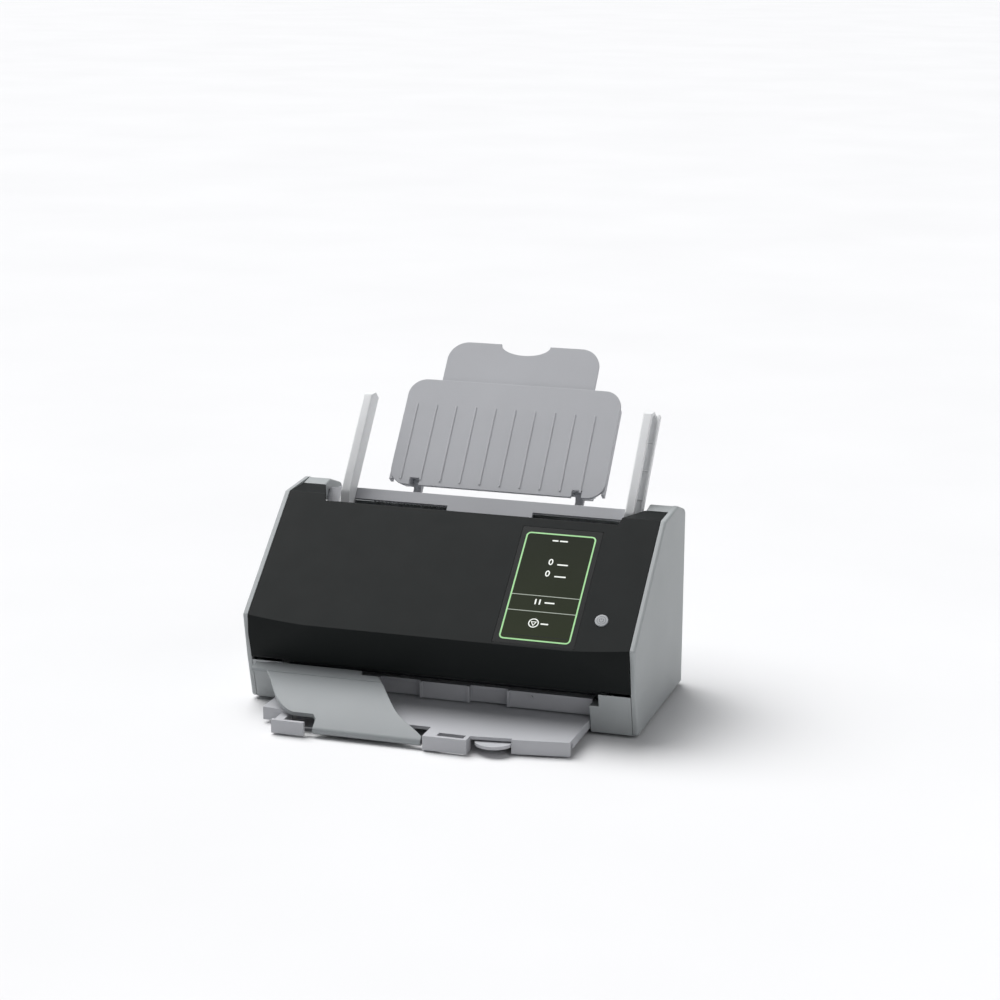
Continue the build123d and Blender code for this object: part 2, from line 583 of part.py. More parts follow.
# ---------------------------------------------------------------- upper unit inside the cover
FRAME_HALF = 121.0
LATCH = path_yz(-22, 23)
UPPER_SHAFT_R = 2.0
with BuildPart() as cover_inner_frame:
    rim = [(-16.5, 19.5), (-38, 3.0), (-50, 1.5), (-132, 1.5), (-137, 7), (-141, 20),
           (-134, 31), (-118, 37.6)]
    trough = [(-19.5, 45), (-19.5, 19.0), (-39.0, 5.4), (-50.5, 3.9), (-131, 3.9), (-135, 8.5),
              (-138.0, 19.5), (-131.8, 29), (-131.8, 55)]
    slab(path_outline(rim), -FRAME_HALF, FRAME_HALF)
    slab(path_outline(trough), -FRAME_HALF + WALL, FRAME_HALF - WALL, mode=Mode.SUBTRACT)
    for x in (-100, -35, 28):
        slab(path_outline([(-19, 18.5), (-38, 5), (-50, 3), (-132, 3), (-136, 9), (-118, 37.6)]),
             x - 4, x + 4)
    for side in (-1, 1):
        x0, x1 = sorted((side * (FRAME_HALF - WALL), side * FRAME_HALF))
        rod(LATCH, 4.0, x0, x1)
        slab(path_outline([(-18, 12), (-18, 23), (-26, 23), (-26, 12)]), x0, x1)
        rod((HINGE_Y, HINGE_Z), EAR_R, x0, x1)
        rod(LATCH, 2.05, x0 - 1, x1 + 1, mode=Mode.SUBTRACT)
        rod((HINGE_Y, HINGE_Z), 1.85, x0 - 1, x1 + 1, mode=Mode.SUBTRACT)
        x0, x1 = sorted((FEED_X + side * 17, FEED_X + side * 19.4))
        plane_box(PATH, x0, x1, -51, -29, 3.0, 14.0)
    window(PATH, FEED_X, PICK_S, 30, 19)
    for x in FEED_ROLLER_X:
        window(PATH, x, FEED_S, 16, 15)
        window(PATH, x, EXIT_S, 16, 15)
    window(PATH, 0, UPPER_SENSOR_S, SENSOR_LENGTH + 1, SENSOR_WIDTH + 1, depth=32)
    for spot in (BRAKE, UPPER_FEED, UPPER_EXIT):
        rod(spot, UPPER_SHAFT_R, -HALF, HALF, mode=Mode.SUBTRACT)
save(cover_inner_frame.part, "cover_inner_frame")


with BuildPart() as idler_shafts:
    rod(BRAKE, UPPER_SHAFT_R, FEED_X - 20, FEED_X + 20)
    for spot in (UPPER_FEED, UPPER_EXIT):
        rod(spot, UPPER_SHAFT_R, -121.5, 121.5)
    chamfer(idler_shafts.edges().filter_by(GeomType.CIRCLE), 0.3)
save(idler_shafts.part, "idler_shafts")

IDLER_BORE = UPPER_SHAFT_R + RUN
save(rollers(BRAKE, 9.0, IDLER_BORE, 26.0, (FEED_X,)).part, "brake_roller")
save(rollers(UPPER_FEED, IDLER_R, IDLER_BORE, 12.0, FEED_ROLLER_X).part, "upper_feed_idlers")
save(rollers(UPPER_EXIT, IDLER_R, IDLER_BORE, 12.0, FEED_ROLLER_X).part, "upper_exit_idlers")

with BuildPart() as cover_latch:
    rod(LATCH, 2.0, -126.8, 126.8)
    hook = [(-24.0, 23), (-23.4, 1.0), (-28.5, 1.0), (-28.5, -2.0), (-19.8, -2.0), (-20.0, 23)]
    for side in (-1, 1):
        x0, x1 = sorted((side * 124.4, side * 126.8))
        slab(path_outline(hook), x0, x1)
    tab = [(-23.5, 23), (-20.5, 24), (-13.5, 22.5), (-13.0, 20.5), (-20.5, 21)]
    slab(path_outline(tab), -112, -98)
save(cover_latch.part, "cover_latch")


# ---------------------------------------------------------------- paper outlet
with BuildPart() as exit_guide:
    box(TRAY_LEFT, TRAY_RIGHT, -57.5, -55.5, 13.0, 25.5)
    top = [(-57.5, 25.5), (-57.5, 23.5), (-50.0, 23.5), (-48.6, 22.0), (-47.2, 23.0), (-49.0, 25.5)]
    slab(top, TRAY_LEFT, TRAY_RIGHT)
    for x0, x1 in ((-50, -17), (19.5, 50.5)):
        box(x0, x1, -60, -55, 13.0, 30, mode=Mode.SUBTRACT)
        box(x0, x1, -53.5, -51.8, 13.0, 24.0)
        for x in (x0 - 1, x1 - 1):
            box(x, x + 2, -58.6, -51.8, 13.0, 25.5)
    with Locations((68, -57.5, 22)):
        Cylinder(1.2, 3, rotation=(90, 0, 0))
save(exit_guide.part, "exit_guide")


# ---------------------------------------------------------------- stacker
FLAP_Y, FLAP_Z = -130.5, 5.5
with BuildPart() as stacker_tray:
    with BuildSketch(Plane.XY.offset(TRAY_TOP - 2.4)) as plate:
        with BuildLine():
            Polyline((-79, -116), (TRAY_LEFT + 22, -116), (TRAY_LEFT, -110), (TRAY_LEFT, 20),
                     (TRAY_RIGHT, 20), (TRAY_RIGHT, -114.5))
            Spline((TRAY_RIGHT, -114.5), (71.3, -122), (43.5, -126))
            Polyline((43.5, -126), (10.5, -126), (10.5, -116), (-79, -116))
        make_face()
    extrude(plate.sketch, amount=2.4)
    with BuildSketch(Plane.XY.offset(1.5)) as right_wall:
        with BuildLine():
            Spline((TRAY_RIGHT, -117.5), (95, -121), (73, -124.6))
            Polyline((73, -124.6), (73, -121.2))
            Spline((73, -121.2), (95, -117.6), (TRAY_RIGHT, -114.2))
            Line((TRAY_RIGHT, -114.2), (TRAY_RIGHT, -117.5))
        make_face()
    extrude(right_wall.sketch, amount=TRAY_TOP - 1.5)
    box(10.5, 43.0, WALL_FRONT, -132.6, 1.5, TRAY_TOP)
    for x0, x1 in ((10.5, 20.0), (40.0, 43.0)):
        box(x0, x1, WALL_FRONT, -124, 1.5, TRAY_TOP)
    box(-104.8, -80.0, WALL_FRONT + 0.5, -132.6, 1.5, TRAY_TOP - 0.5)
    box(-104.8, -98.0, -133.0, -114, 1.5, TRAY_TOP - 2.2)
    for x in (TRAY_LEFT + 1, TRAY_RIGHT - 1):
        box(x - 1, x + 1, -110, 20, 5.0, TRAY_TOP)
    box(TRAY_LEFT, -98, -112, -110, 2.5, TRAY_TOP)
    for x in (43.6, 74.6):
        box(x - 0.8, x + 0.8, -112, 12, 5.2, TRAY_TOP - 2.0)
        x0, x1 = sorted((x, x + (2.2 if x < 50 else -2.2)))
        box(x0, x1, -112, 12, 5.2, 6.0)
    rod((FLAP_Y, FLAP_Z), 1.55, -99, -94, mode=Mode.SUBTRACT)
    rod((FLAP_Y, FLAP_Z), 1.55, 10, 16, mode=Mode.SUBTRACT)
save(stacker_tray.part, "stacker_tray")

with BuildPart() as tray_extension:
    with BuildSketch(Plane.XY.offset(6.3)) as tongue:
        with BuildLine():
            Polyline((45.2, -120), (45.2, -20), (73.0, -20), (73.0, -120))
            ThreePointArc((73.0, -120), (59.1, -134.5), (45.2, -120))
        make_face()
    extrude(tongue.sketch, amount=2.2)
    box(50, 68, -24, -21, 8.5, 9.3)
save(tray_extension.part, "tray_extension")

FLAP_TOP, FLAP_BOTTOM, FLAP_SAG, FLAP_T = (-74.0, 34.2), (-132.3, 7.8), 3.8, 2.4
CREASE_AT = 0.2          # share of the flap's curve from its top edge to the fold line
with BuildPart() as stacker_flap:
    chord = Vector(*FLAP_BOTTOM) - Vector(*FLAP_TOP)
    middle = (Vector(*FLAP_TOP) + Vector(*FLAP_BOTTOM)) / 2
    normal = Vector(chord.Y, -chord.X).normalized()
    crown = middle + normal * FLAP_SAG
    with BuildSketch(Plane.YZ.offset(-145)) as curve:
        with BuildLine() as bend:
            outer_face = ThreePointArc(FLAP_TOP, (crown.X, crown.Y), FLAP_BOTTOM)
            offset(amount=FLAP_T, side=Side.LEFT)
        make_face()
        crease = outer_face @ CREASE_AT
        with Locations((crease.X, crease.Y)):
            Circle(0.45, mode=Mode.SUBTRACT)
    extrude(curve.sketch, amount=155)
    with BuildSketch(Plane.XY) as leaf:
        with BuildLine():
            left = Spline((-128.6, -84.5), (-118, -100), (-105.5, -116), (-93, -122.8))
            Polyline(left @ 1, (-77, -122.8), (-74.0, -126), (-74.0, -140), (8.0, -140),
                     (8.0, -130.2))
            right = Spline((8.0, -130.2), (-2.8, -123.6), (-12.6, -117.4), (-24.8, -104.4),
                           (-43, -79.5))
            Polyline(right @ 1, (-55.5, -79.5), (-57.5, -76.5), (-57.5, -70), (-130.5, -70),
                     (-130.5, -74.9), (-133.0, -75.6), (-140.5, -75.6), (-140.5, -84.5), left @ 0)
        make_face()
    extrude(leaf.sketch, amount=60, mode=Mode.INTERSECT)
    rod((FLAP_Y, FLAP_Z), 2.9, -74.0, 8.0)
    rod((FLAP_Y, FLAP_Z), 1.5, -80, 12, mode=Mode.SUBTRACT)
save(stacker_flap.part, "stacker_flap")

with BuildPart() as flap_pin:
    rod((FLAP_Y, FLAP_Z), 1.45, -98.6, 15.6)
save(flap_pin.part, "flap_pin")


# ---------------------------------------------------------------- hopper floor, racks and pinion
STEM_S0, STEM_S1 = -2.0, 4.0
GUIDE_W = 10.5
RACK_N = -8.6
PINION_TEETH, PINION_S = 12, 1.0
TOOTH_PITCH = pi         # module 1
HINGE_S, HINGE_N = 28.0, -12.0
CHUTE_HINGE = path_yz(HINGE_S, HINGE_N)

with BuildPart() as hopper_floor:
    plane_box(PATH, -127.0, 127.0, -8, 12, -3.4, -1.0)
    plane_box(PATH, -120.0, 120.0, 12, 13.6, -15.6, -1.0)
    plane_box(PATH, -BED_HALF, BED_HALF, -25.4, -8, -3.4, -1.0)
    for side in (-1, 1):
        x0, x1 = sorted((FEED_X + side * 34, FEED_X + side * (GUIDE_HALF + 10)))
        plane_box(PATH, x0, x1, STEM_S0 - 0.5, STEM_S1 + 0.5, -10, 5, mode=Mode.SUBTRACT)
        x0, x1 = sorted((FEED_X + side * 62, FEED_X + side * 68))
        slab(path_outline([(12, -12.5), (12, -15.6), (24, -17), (33, -17), (33, -9), (26, -9),
                           (22, -12.5)]), x0, x1)
        x0, x1 = sorted((side * 124.6, side * 127.0))
        slab(path_outline([(-8, -3), (12, -3), (12, -16), (-8, -16)]), x0, x1)
    for x in range(-90, 100, 18):
        plane_box(PATH, x - 0.8, x + 0.8, -22, -4, -1.0, -0.5)
    rod(CHUTE_HINGE, 2.5 + RUN, -HALF, HALF, mode=Mode.SUBTRACT)
    with Locations(PATH * Location((FEED_X, PINION_S, 0))):
        with Locations((0, 0, -6.8)):
            Cylinder(2.0, 7.8)
        with Locations((0, 0, -10.9)):
            Cylinder(3.2, 0.8)
save(hopper_floor.part, "hopper_floor")


def add_rack(side):
    """Toothed bar under the hopper floor and its stem; side +1 belongs to the right guide."""
    stem_x = FEED_X + side * (GUIDE_HALF + 6.5)
    root = PINION_S - side * (PINION_TEETH / 2 + 1.15)
    back = root - side * 3.2
    tip = PINION_S - side * (PINION_TEETH / 2 - 0.75)
    reach_x = FEED_X - side * 9.0
    x0, x1 = sorted((stem_x, reach_x))
    s0, s1 = sorted((root, back))
    plane_box(PATH, x0, x1, s0, s1, RACK_N - 1.5, RACK_N + 1.5)
    with BuildSketch(PATH.offset(RACK_N - 1.5)) as teeth:
        for k in range(-3, 32):
            x = FEED_X + TOOTH_PITCH * (side * k + 0.5)
            if x0 + 1.2 < x < x1 - 1.2:
                Polygon((x - 1.05, root), (x - 0.4, tip), (x + 0.4, tip), (x + 1.05, root),
                        align=None)
    extrude(teeth.sketch, amount=3.0)
    plane_box(PATH, stem_x - 3.5, stem_x + 3.5, min(s0, STEM_S0), max(s1, STEM_S1),
              RACK_N - 1.5, RACK_N + 1.5)
    plane_box(PATH, stem_x - 3.5, stem_x + 3.5, STEM_S0, STEM_S1, RACK_N + 1.5, 1.0)


with BuildPart() as guide_pinion:
    with BuildSketch(PATH.offset(RACK_N - 1.5)) as wheel:
        with Locations((FEED_X, PINION_S)):
            Polygon(*gear_outline(PINION_TEETH, 1.0, 90.0), align=None)
            Circle(2.0 + RUN, mode=Mode.SUBTRACT)
    extrude(wheel.sketch, amount=3.0)
save(guide_pinion.part, "guide_pinion")


# ---------------------------------------------------------------- side guides
GUIDE_LOW, GUIDE_HIGH, GUIDE_RISE, CAP_W = -9.0, 92.0, 15.0, 7.0


def side_guide(side):
    """Tall guide that is open to the outside: paper wall, front cap, base flange and a stem."""
    wall = FEED_X + side * GUIDE_HALF

    def outward(start, end):
        return sorted((wall + side * start, wall + side * end))

    outline = [(GUIDE_LOW, 0.3), (GUIDE_HIGH, 0.3), (GUIDE_HIGH, 9.0), (GUIDE_HIGH - 5, GUIDE_RISE),
               (4.0, GUIDE_RISE), (GUIDE_LOW, 7.0)]
    cap = [*outline[1:], (GUIDE_LOW, 4.4), (4.6, GUIDE_RISE - 2.4), (GUIDE_HIGH - 6, GUIDE_RISE - 2.4),
           (GUIDE_HIGH - 2.2, 8.2), (GUIDE_HIGH - 2.2, 0.3)]
    with BuildPart() as guide:
        slab(path_outline(outline), *outward(0, 2.2))
        slab(path_outline(cap), *outward(0, CAP_W))
        along = guide.edges().filter_by(Axis((0, 0, 0), PATH.y_dir))
        fillet(along.group_by(Axis((0, 0, 0), PATH.z_dir))[-1], 1.1)
        plane_box(PATH, *outward(0, GUIDE_W), GUIDE_LOW, GUIDE_HIGH, 0.3, 2.6)
        plane_box(PATH, *outward(GUIDE_W - 1.6, GUIDE_W), GUIDE_LOW, GUIDE_HIGH, 2.6, 4.4)
        for s in (20, 44, 68):
            plane_box(PATH, *outward(2.0, GUIDE_W), s, s + 1.2, 2.0, 4.2)
        add_rack(side)
    return guide.part


save(side_guide(+1), "right_side_guide")
save(side_guide(-1), "left_side_guide")


# ---------------------------------------------------------------- paper chute and extension
CHUTE_LOW, CHUTE_TIP, TIP_Y = 20.0, 112.0, 136.0
EXT_N0, EXT_N1 = -6.4, -4.2
EXT_TIP = (TIP_Y - PATH_Y + EXT_N0 * sin(radians(PATH_ANGLE))) / cos(radians(PATH_ANGLE))
with BuildPart() as paper_chute:
    with BuildSketch(PATH.offset(-3.2)) as leaf:
        with Locations((FEED_X, (CHUTE_LOW + CHUTE_TIP) / 2)):
            Rectangle(172, CHUTE_TIP - CHUTE_LOW)
        fillet(leaf.vertices().group_by(Axis.Z)[-1], 14)
    extrude(leaf.sketch, amount=2.2)
    for side in (-1, 1):
        x0, x1 = sorted((FEED_X + side * 61.0, FEED_X + side * 69.0))
        plane_box(PATH, x0, x1, CHUTE_LOW - 1, HINGE_S - 2, -4, 0, mode=Mode.SUBTRACT)
        x0, x1 = sorted((FEED_X + side * 83.8, FEED_X + side * 86.0))
        plane_box(PATH, x0, x1, 24, CHUTE_TIP - 14, -7.5, -2.0)
        x0, x1 = sorted((FEED_X + side * 62.4, FEED_X + side * 64.0))
        plane_box(PATH, x0, x1, 40, CHUTE_TIP - 6, -8.2, -3.0)
        x0, x1 = sorted((FEED_X + side * 57.0, FEED_X + side * 64.0))
        plane_box(PATH, x0, x1, 40, CHUTE_TIP - 6, -8.2, -6.9)
        x0, x1 = sorted((FEED_X + side * 69.0, FEED_X + side * 75.0))
        slab(path_outline([(CHUTE_LOW, -3), (46, -3), (32.5, -14), (24, -14)]), x0, x1)
        rod(CHUTE_HINGE, 4.6, x0, x1)
    for x in range(-72, 88, 16):
        plane_box(PATH, x - 0.7, x + 0.7, 24, CHUTE_TIP - 22, -1.0, -0.5)
    rod(CHUTE_HINGE, 2.5, -HALF, HALF, mode=Mode.SUBTRACT)
save(paper_chute.part, "paper_chute")

with BuildPart() as chute_hinge_rod:
    rod(CHUTE_HINGE, 2.5, FEED_X - 77, FEED_X + 77)
save(chute_hinge_rod.part, "chute_hinge_rod")

with BuildPart() as chute_extension:
    with BuildSketch(PATH.offset(EXT_N0)) as leaf:
        with Locations((FEED_X, (60 + EXT_TIP) / 2)):
            Rectangle(123.6, EXT_TIP - 60)
        fillet(leaf.vertices().group_by(Axis.Z)[-1], 16)
        with Locations((FEED_X, EXT_TIP)):
            Ellipse(20, 9, mode=Mode.SUBTRACT)
    extrude(leaf.sketch, amount=EXT_N1 - EXT_N0)
save(chute_extension.part, "chute_extension")


# ---------------------------------------------------------------- electronics at the rear
with BuildPart() as main_board:
    box(-20, 122, 66.0, 67.6, 16, 96)
save(main_board.part, "main_board")

with BuildPart() as board_parts:
    for x, z, w, h, t in ((20, 60, 16, 16, 1.8), (48, 68, 12, 12, 1.6), (52, 40, 10, 6, 1.4),
                          (0, 80, 20, 5, 5.0), (0, 32, 6, 20, 5.0), (90, 70, 9, 9, 6.0)):
        box(x - w / 2, x + w / 2, 66.0 - t, 66.0, z - h / 2, z + h / 2)
    with Locations((80, 66.0, 52), (94, 66.0, 52)):
        Cylinder(4, 9, rotation=(90, 0, 0), align=(Align.CENTER, Align.CENTER, Align.MIN))
save(board_parts.part, "board_parts")

with BuildPart() as rear_sockets:
    box(65, 77, BOARD_Y, 76.8, 25, 35)
    box(67, 75, 70, 80, 26.8, 33.4, mode=Mode.SUBTRACT)
    box(69.2, 72.8, 69, 76, 28.8, 31.4)
    box(94, 106, BOARD_Y, 75.8, 24, 36)
    with Locations((100, 77.0, 30)):
        Cylinder(4.9, 3.0, rotation=(90, 0, 0))
    with Locations((100, 76.0, 30)):
        Cylinder(3.2, 12, rotation=(90, 0, 0), mode=Mode.SUBTRACT)
    with Locations((100, 73.0, 30)):
        Cylinder(1.0, 9.0, rotation=(90, 0, 0))
save(rear_sockets.part, "rear_sockets")


# ---------------------------------------------------------------- screws
with BuildPart() as housing_screws:
    under = [Location((x, y, FLOOR_Z), (180, 0, 0)) for x in (-128, 128) for y in (-20, 36)]
    behind = [Location((x, BACK, z), (-90, 0, 0)) for x in (-134, 134) for z in (20, 100)]
    with Locations(*under, *behind):
        Cylinder(3.2, 1.3, align=(Align.CENTER, Align.CENTER, Align.MIN))
    with Locations(*[spot * Location((0, 0, 1.3)) for spot in under + behind]):
        Cylinder(1.3, 0.9, align=(Align.CENTER, Align.CENTER, Align.MAX), mode=Mode.SUBTRACT)
save(housing_screws.part, "housing_screws")
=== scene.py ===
"""Looks of the sheet-fed document scanner: materials, display picture, floor, lights and camera."""
import json
from math import cos, pi, radians, sin, tau

import bmesh
import bpy
from mathutils import Matrix, Vector


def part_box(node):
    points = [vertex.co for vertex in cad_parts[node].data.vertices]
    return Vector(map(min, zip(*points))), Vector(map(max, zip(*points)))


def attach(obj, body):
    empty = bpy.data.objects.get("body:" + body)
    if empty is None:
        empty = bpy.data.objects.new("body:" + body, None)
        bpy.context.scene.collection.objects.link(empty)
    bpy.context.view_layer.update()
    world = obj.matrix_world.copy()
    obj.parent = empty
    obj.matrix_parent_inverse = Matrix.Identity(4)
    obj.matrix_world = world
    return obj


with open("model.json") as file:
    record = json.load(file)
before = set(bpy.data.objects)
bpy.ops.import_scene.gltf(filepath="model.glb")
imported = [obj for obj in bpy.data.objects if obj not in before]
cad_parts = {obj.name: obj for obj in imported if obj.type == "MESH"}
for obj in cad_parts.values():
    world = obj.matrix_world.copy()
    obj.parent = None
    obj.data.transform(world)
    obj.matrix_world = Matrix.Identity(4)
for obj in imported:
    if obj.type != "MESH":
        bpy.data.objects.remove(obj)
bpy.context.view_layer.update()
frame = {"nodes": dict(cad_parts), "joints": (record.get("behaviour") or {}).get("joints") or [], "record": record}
nodes = frame["nodes"]
joints = {joint["name"]: joint for joint in frame["joints"]}
MM = 0.001
SHARP_ANGLE = 32.0       # degrees between facets above which an edge stays sharp
WELD_DISTANCE = 0.002 * MM


# ---------------------------------------------------------------- node tree helpers
def colour(code, scale=1.0):
    """Linear RGBA of a #rrggbb colour, brightened or darkened by scale."""
    channels = [int(code[i:i + 2], 16) / 255 for i in (1, 3, 5)]
    linear = [c / 12.92 if c <= 0.04045 else ((c + 0.055) / 1.055) ** 2.4 for c in channels]
    return (*[min(1.0, c * scale) for c in linear], 1.0)


class Surface:
    """A Principled material that is built up from noise, masks and bumps in the row frame."""

    def __init__(self, name, **constants):
        self.material = bpy.data.materials.new(name)
        self.material.use_nodes = True
        self.tree = self.material.node_tree
        self.shader = self.tree.nodes["Principled BSDF"]
        self.place = self.add("ShaderNodeTexCoord").outputs["Object"]
        for socket, value in constants.items():
            self.shader.inputs[socket.replace("_", " ")].default_value = value

    def add(self, kind, inputs=(), **settings):
        node = self.tree.nodes.new(kind)
        for key, value in settings.items():
            setattr(node, key, value)
        for socket, value in dict(inputs).items():
            if isinstance(value, bpy.types.NodeSocket):
                self.tree.links.new(value, node.inputs[socket])
            else:
                node.inputs[socket].default_value = value
        return node

    def stretched(self, x=1.0, y=1.0, z=1.0, turn=0.0):
        """The place in the row frame, scaled along each axis and turned about X."""
        return self.add("ShaderNodeMapping", {"Vector": self.place, "Scale": (x, y, z),
                                              "Rotation": (turn, 0, 0)}).outputs["Vector"]

    def noise(self, scale, detail=2.0, place=None):
        return self.add("ShaderNodeTexNoise", {"Vector": place or self.place, "Scale": scale,
                                               "Detail": detail}).outputs["Fac"]

    def remap(self, value, low, high, start=0.3, end=0.7):
        """Noise between start and end spread over low to high."""
        return self.add("ShaderNodeMapRange", {"Value": value, "From Min": start, "From Max": end,
                                               "To Min": low, "To Max": high}).outputs["Result"]

    def math(self, operation, a, b):
        return self.add("ShaderNodeMath", {0: a, 1: b}, operation=operation).outputs["Value"]

    def blend(self, factor, first, second):
        """Colour between first and second."""
        node = self.add("ShaderNodeMix", data_type="RGBA")
        for index, value in ((0, factor), (6, first), (7, second)):
            if isinstance(value, bpy.types.NodeSocket):
                self.tree.links.new(value, node.inputs[index])
            else:
                node.inputs[index].default_value = value
        return node.outputs[2]

    def edges(self, radius):
        """1 on outer edges, 0 on flats, and the normal that rounds those edges."""
        rounded = self.add("ShaderNodeBevel", {"Radius": radius}, samples=6).outputs["Normal"]
        flat = self.add("ShaderNodeNewGeometry").outputs["Normal"]
        facing = self.add("ShaderNodeVectorMath", {0: rounded, 1: flat},
                          operation="DOT_PRODUCT").outputs["Value"]
        return self.remap(facing, 1.0, 0.0, start=0.80, end=0.985), rounded

    def bump(self, height, distance, normal=None):
        inputs = {"Height": height, "Distance": distance, "Strength": 1.0}
        if normal is not None:
            inputs["Normal"] = normal
        return self.add("ShaderNodeBump", inputs).outputs["Normal"]

    def finish(self, **sockets):
        for socket, value in sockets.items():
            self.tree.links.new(value, self.shader.inputs[socket.replace("_", " ")])
        return self.material


# ---------------------------------------------------------------- materials
def moulded_plastic(name, tone, roughness, grain=0.035 * MM, edge_highlight_weight=0.5, gloss=0.4, coat=0.0):
    """Injection-moulded plastic: spark-eroded grain, slight colour drift, smoother edges with a painted highlight
    along them.
    """
    s = Surface(name, Coat_Weight=coat, Coat_Roughness=0.25, Specular_IOR_Level=gloss)
    drift = s.noise(14, 3)
    grains = s.noise(1500, 3)
    smudges = s.noise(55, 5)
    edge, rounded = s.edges(0.45 * MM)
    body = s.blend(s.remap(drift, 0.0, 1.0), colour(tone, 0.97), colour(tone, 1.03))
    speckled = s.blend(s.remap(grains, 0.0, 0.10, 0.5, 0.75), body, colour(tone, 0.72))
    # painted highlight: the outer edges are lightened towards 1.55 times the tone
    painted_edge_highlight = s.blend(s.math("MULTIPLY", edge, edge_highlight_weight), speckled, colour(tone, 1.55))
    rough = s.remap(smudges, roughness - 0.02, roughness + 0.03)
    polished = s.math("SUBTRACT", rough, s.math("MULTIPLY", edge, 0.08))
    return s.finish(Base_Color=painted_edge_highlight, Roughness=polished, Normal=s.bump(grains, grain, rounded))


def rubber(name, tone):
    """Matt elastomer with a ground, slightly streaky surface and dust in the pores."""
    s = Surface(name, Specular_IOR_Level=0.3)
    streaks = s.noise(420, 4, s.stretched(0.25, 1, 1))
    dust = s.noise(130, 6)
    body = s.blend(s.remap(dust, 0.0, 0.35, 0.5, 0.8), colour(tone), colour(tone, 2.2))
    return s.finish(Base_Color=body, Roughness=s.remap(streaks, 0.72, 0.92),
                    Normal=s.bump(streaks, 0.06 * MM))


def ground_steel(name, tone, roughness, along):
    """Steel with fine lines along one axis and a little tarnish."""
    s = Surface(name, Metallic=1.0)
    squeeze = {axis: (0.06 if axis == along else 1.0) for axis in "xyz"}
    lines = s.noise(1900, 3, s.stretched(**squeeze))
    tarnish = s.noise(60, 5)
    edge, rounded = s.edges(0.25 * MM)
    body = s.blend(s.remap(tarnish, 0.0, 0.6), colour(tone), colour(tone, 0.72))
    # painted highlight: the outer edges are lightened towards 1.25 times the tone
    painted_edge_glint = s.blend(s.math("MULTIPLY", edge, 0.6), body, colour(tone, 1.25))
    return s.finish(Base_Color=painted_edge_glint, Roughness=s.remap(lines, roughness - 0.07, roughness + 0.1),
                    Normal=s.bump(lines, 0.012 * MM, rounded))


def zinc_sheet(name, tone):
    """Zinc-plated sheet with faint crystals."""
    s = Surface(name, Metallic=1.0)
    crystals = s.add("ShaderNodeTexVoronoi", {"Vector": s.place, "Scale": 240.0,
                                              "Randomness": 1.0}).outputs["Distance"]
    haze = s.noise(34, 4)
    edge, rounded = s.edges(0.2 * MM)
    body = s.blend(s.remap(crystals, 0.0, 1.0, 0.1, 0.6), colour(tone), colour(tone, 0.82))
    # painted highlight: the outer edges are lightened towards 1.3 times the tone
    painted_edge_glint = s.blend(s.math("MULTIPLY", edge, 0.5), body, colour(tone, 1.3))
    return s.finish(Base_Color=painted_edge_glint, Roughness=s.remap(haze, 0.3, 0.5),
                    Normal=s.bump(crystals, 0.01 * MM, rounded))


def clear_glass(name, tone):
    """Scan glass with a faint haze of paper dust."""
    s = Surface(name, Transmission_Weight=0.85, IOR=1.5)
    haze = s.noise(200, 5)
    body = s.blend(s.remap(haze, 0.0, 1.0), colour(tone), colour(tone, 0.85))
    return s.finish(Base_Color=body, Roughness=s.remap(haze, 0.02, 0.09),
                    Normal=s.bump(haze, 0.002 * MM))


def touch_glass(name, tone):
    """Back-printed black cover glass of the display, matt-coated, with faint wipe marks."""
    s = Surface(name, Specular_IOR_Level=0.12, Coat_Weight=0.03, Coat_Roughness=0.3)
    wipes = s.noise(36, 6, s.stretched(0.5, 2.2, 2.2, turn=0.7))
    edge, rounded = s.edges(0.3 * MM)
    body = s.blend(s.remap(wipes, 0.0, 1.0), colour(tone, 0.92), colour(tone, 1.1))
    # painted highlight: the glass edges are lightened towards 2.2 times the tone
    painted_rim_highlight = s.blend(s.math("MULTIPLY", edge, 0.5), body, colour(tone, 2.2))
    return s.finish(Base_Color=painted_rim_highlight, Roughness=s.remap(wipes, 0.34, 0.46),
                    Normal=s.bump(s.noise(2200, 2), 0.004 * MM, rounded))


def circuit_board(name, tone):
    """Solder mask over copper tracks and pads."""
    s = Surface(name, Specular_IOR_Level=0.5, Coat_Weight=0.4, Coat_Roughness=0.2)
    tracks = s.add("ShaderNodeTexBrick", {"Vector": s.stretched(1, 1, 1, turn=pi / 2),
                                          "Scale": 210.0, "Mortar Size": 0.035,
                                          "Color1": (0, 0, 0, 1), "Color2": (0.25, 0.25, 0.25, 1),
                                          "Mortar": (1, 1, 1, 1)}).outputs["Color"]
    cloth = s.noise(900, 2)
    body = s.blend(tracks, colour(tone), colour(tone, 1.9))
    return s.finish(Base_Color=body, Roughness=s.remap(cloth, 0.35, 0.5),
                    Normal=s.bump(tracks, 0.03 * MM))


def lit_screen(name, low_tone, high_tone, glow):
    """Liquid crystal picture area: a glow that falls off towards the top, and its cell grid."""
    s = Surface(name, Specular_IOR_Level=0.06, Emission_Strength=glow)
    height = s.add("ShaderNodeSeparateXYZ", {"Vector": s.place}).outputs["Z"]
    bottom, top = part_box("touch_panel_glass")
    fade = s.remap(height, 0.0, 1.0, start=bottom.z, end=top.z)
    cells = s.add("ShaderNodeTexChecker", {"Vector": s.place, "Scale": 5000.0}).outputs["Fac"]
    picture = s.blend(fade, colour(low_tone), colour(high_tone))
    meshed = s.blend(s.math("MULTIPLY", cells, 0.12), picture, colour(low_tone, 0.4))
    return s.finish(Base_Color=meshed, Emission_Color=meshed,
                    Roughness=s.remap(s.noise(40, 4), 0.32, 0.42))


